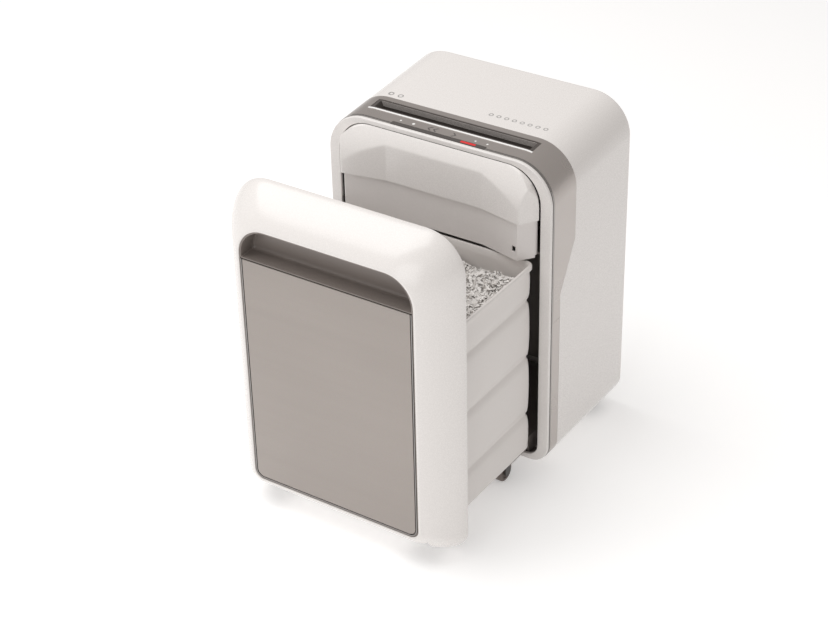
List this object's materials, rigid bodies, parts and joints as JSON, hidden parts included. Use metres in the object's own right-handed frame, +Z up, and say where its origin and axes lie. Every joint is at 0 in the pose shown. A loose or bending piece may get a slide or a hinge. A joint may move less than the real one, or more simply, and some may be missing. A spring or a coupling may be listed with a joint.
{
  "type": "paper shredder",
  "caption": "Deskside paper shredder on wheels with a pull-out bin, silver front panel with a hand recess, micro-cut cutters and a geared motor.",
  "frame": {"origin": "centre of the object at floor level, under the middle of its width and of its depth with the bin pulled out as stored", "axes": "+Z up, -Y towards the front face and the bin, +X to the right seen from the front"},
  "size_m": [0.365, 0.499, 0.5175],
  "materials": {
    "white_plastic": "satin moulded",
    "bin_white": "fine satin",
    "silver_cover": "satin metallic",
    "silver_panel": "brushed satin metallic",
    "bright_trim": "bright",
    "dark_gloss": "gloss",
    "pocket_grey": "satin",
    "red_lamp": "gloss",
    "pale_mark": "gloss",
    "frame_steel": "zinc plated",
    "tool_steel": "hardened",
    "bronze": "sintered",
    "gear_nylon": "natural",
    "black_plastic": "satin",
    "inner_grey": "satin",
    "motor_steel": "black oxide",
    "board_green": "solder mask",
    "wheel_rubber": "matt",
    "screw_steel": "zinc plated",
    "cut_paper": "matt"
  },
  "bodies": {
    "cabinet": {"cabinet_shell": "white_plastic", "rear_panel": "white_plastic", "rear_panel_screws": "screw_steel", "front_ring": "white_plastic", "chrome_trim": "bright_trim", "led_window": "dark_gloss", "status_lamp": "red_lamp", "touch_key_marks": "pale_mark", "head_cover": "silver_cover", "lower_strip": "silver_cover", "head_hood": "white_plastic", "cutter_guard": "white_plastic", "throat_insert": "pocket_grey", "slot_lip": "bright_trim", "paper_sensors": "black_plastic", "head_deck": "inner_grey", "bay_liner_right": "inner_grey", "bay_liner_left": "inner_grey", "bay_back_wall": "inner_grey", "base_chassis": "inner_grey", "front_wheel_brackets": "black_plastic", "front_comb": "gear_nylon", "rear_comb": "gear_nylon", "cutter_plate_left": "frame_steel", "cutter_plate_right": "frame_steel", "shaft_bushes": "bronze", "tie_rods": "frame_steel", "reduction_axle": "frame_steel", "gearbox_cover": "frame_steel", "motor_body": "motor_steel", "motor_cradle": "black_plastic", "power_board": "board_green", "board_components": "black_plastic", "run_capacitor": "motor_steel", "control_board": "board_green", "power_inlet": "black_plastic", "rocker_housing": "black_plastic", "interlock_switch": "inner_grey"},
    "front_left_wheel": {"front_wheel_left": "wheel_rubber"},
    "front_right_wheel": {"front_wheel_right": "wheel_rubber"},
    "rear_left_fork": {"caster_fork_left": "black_plastic"},
    "rear_right_fork": {"caster_fork_right": "black_plastic"},
    "rear_left_wheel": {"caster_wheel_left": "wheel_rubber"},
    "rear_right_wheel": {"caster_wheel_right": "wheel_rubber"},
    "rear_cutter_shaft": {"rear_cutter": "tool_steel", "rear_sync_gear": "tool_steel", "main_drive_gear": "tool_steel"},
    "front_cutter_shaft": {"front_cutter": "tool_steel", "front_sync_gear": "tool_steel"},
    "reduction": {"reduction_gear": "gear_nylon"},
    "motor_rotor": {"motor_shaft": "tool_steel", "motor_fan": "black_plastic"},
    "rocker": {"power_rocker": "black_plastic"},
    "bin": {"bin_front_shell": "white_plastic", "front_panel": "silver_panel", "panel_edge_trim": "bright_trim", "hand_pocket": "pocket_grey", "bin_tub": "bin_white", "shredded_paper": "cut_paper", "bin_screws": "screw_steel"}
  },
  "joints": [
    {"name": "bin_slide", "type": "slide", "parent": "cabinet", "child": "bin", "axis": [0, -1, 0], "range_m": [-0.2145, 0.03]},
    {"name": "front_left_wheel_spin", "type": "hinge", "parent": "cabinet", "child": "front_left_wheel", "pos_m": [-0.129, -0.0145, 0.016], "axis": [1, 0, 0], "continuous": true},
    {"name": "front_right_wheel_spin", "type": "hinge", "parent": "cabinet", "child": "front_right_wheel", "pos_m": [0.129, -0.0145, 0.016], "axis": [1, 0, 0], "continuous": true},
    {"name": "rear_left_swivel", "type": "hinge", "parent": "cabinet", "child": "rear_left_fork", "pos_m": [-0.146, 0.2135, 0.032], "axis": [0, 0, 1], "continuous": true},
    {"name": "rear_right_swivel", "type": "hinge", "parent": "cabinet", "child": "rear_right_fork", "pos_m": [0.146, 0.2135, 0.032], "axis": [0, 0, 1], "continuous": true},
    {"name": "rear_left_wheel_spin", "type": "hinge", "parent": "rear_left_fork", "child": "rear_left_wheel", "pos_m": [-0.146, 0.2215, 0.012], "axis": [1, 0, 0], "continuous": true},
    {"name": "rear_right_wheel_spin", "type": "hinge", "parent": "rear_right_fork", "child": "rear_right_wheel", "pos_m": [0.146, 0.2215, 0.012], "axis": [1, 0, 0], "continuous": true},
    {"name": "rear_cutter_spin", "type": "hinge", "parent": "cabinet", "child": "rear_cutter_shaft", "pos_m": [0, 0.088, 0.43], "axis": [1, 0, 0], "continuous": true},
    {"name": "front_cutter_spin", "type": "hinge", "parent": "cabinet", "child": "front_cutter_shaft", "pos_m": [0, 0.053, 0.43], "axis": [1, 0, 0], "continuous": true},
    {"name": "reduction_spin", "type": "hinge", "parent": "cabinet", "child": "reduction", "pos_m": [-0.145, 0.13675, 0.43], "axis": [1, 0, 0], "continuous": true},
    {"name": "motor_spin", "type": "hinge", "parent": "cabinet", "child": "motor_rotor", "pos_m": [-0.145, 0.18113, 0.43], "axis": [1, 0, 0], "continuous": true},
    {"name": "power_rocker_tilt", "type": "hinge", "parent": "cabinet", "child": "rocker", "pos_m": [0.066, 0.2429, 0.402], "axis": [0, 0, 1], "range_deg": [-8, 8]}
  ],
  "couplings": [
    {"joint": "front_cutter_spin", "follows": "rear_cutter_spin", "ratio": -1},
    {"joint": "reduction_spin", "follows": "rear_cutter_spin", "ratio": -3.3333},
    {"joint": "motor_spin", "follows": "rear_cutter_spin", "ratio": 12.444}
  ]
}
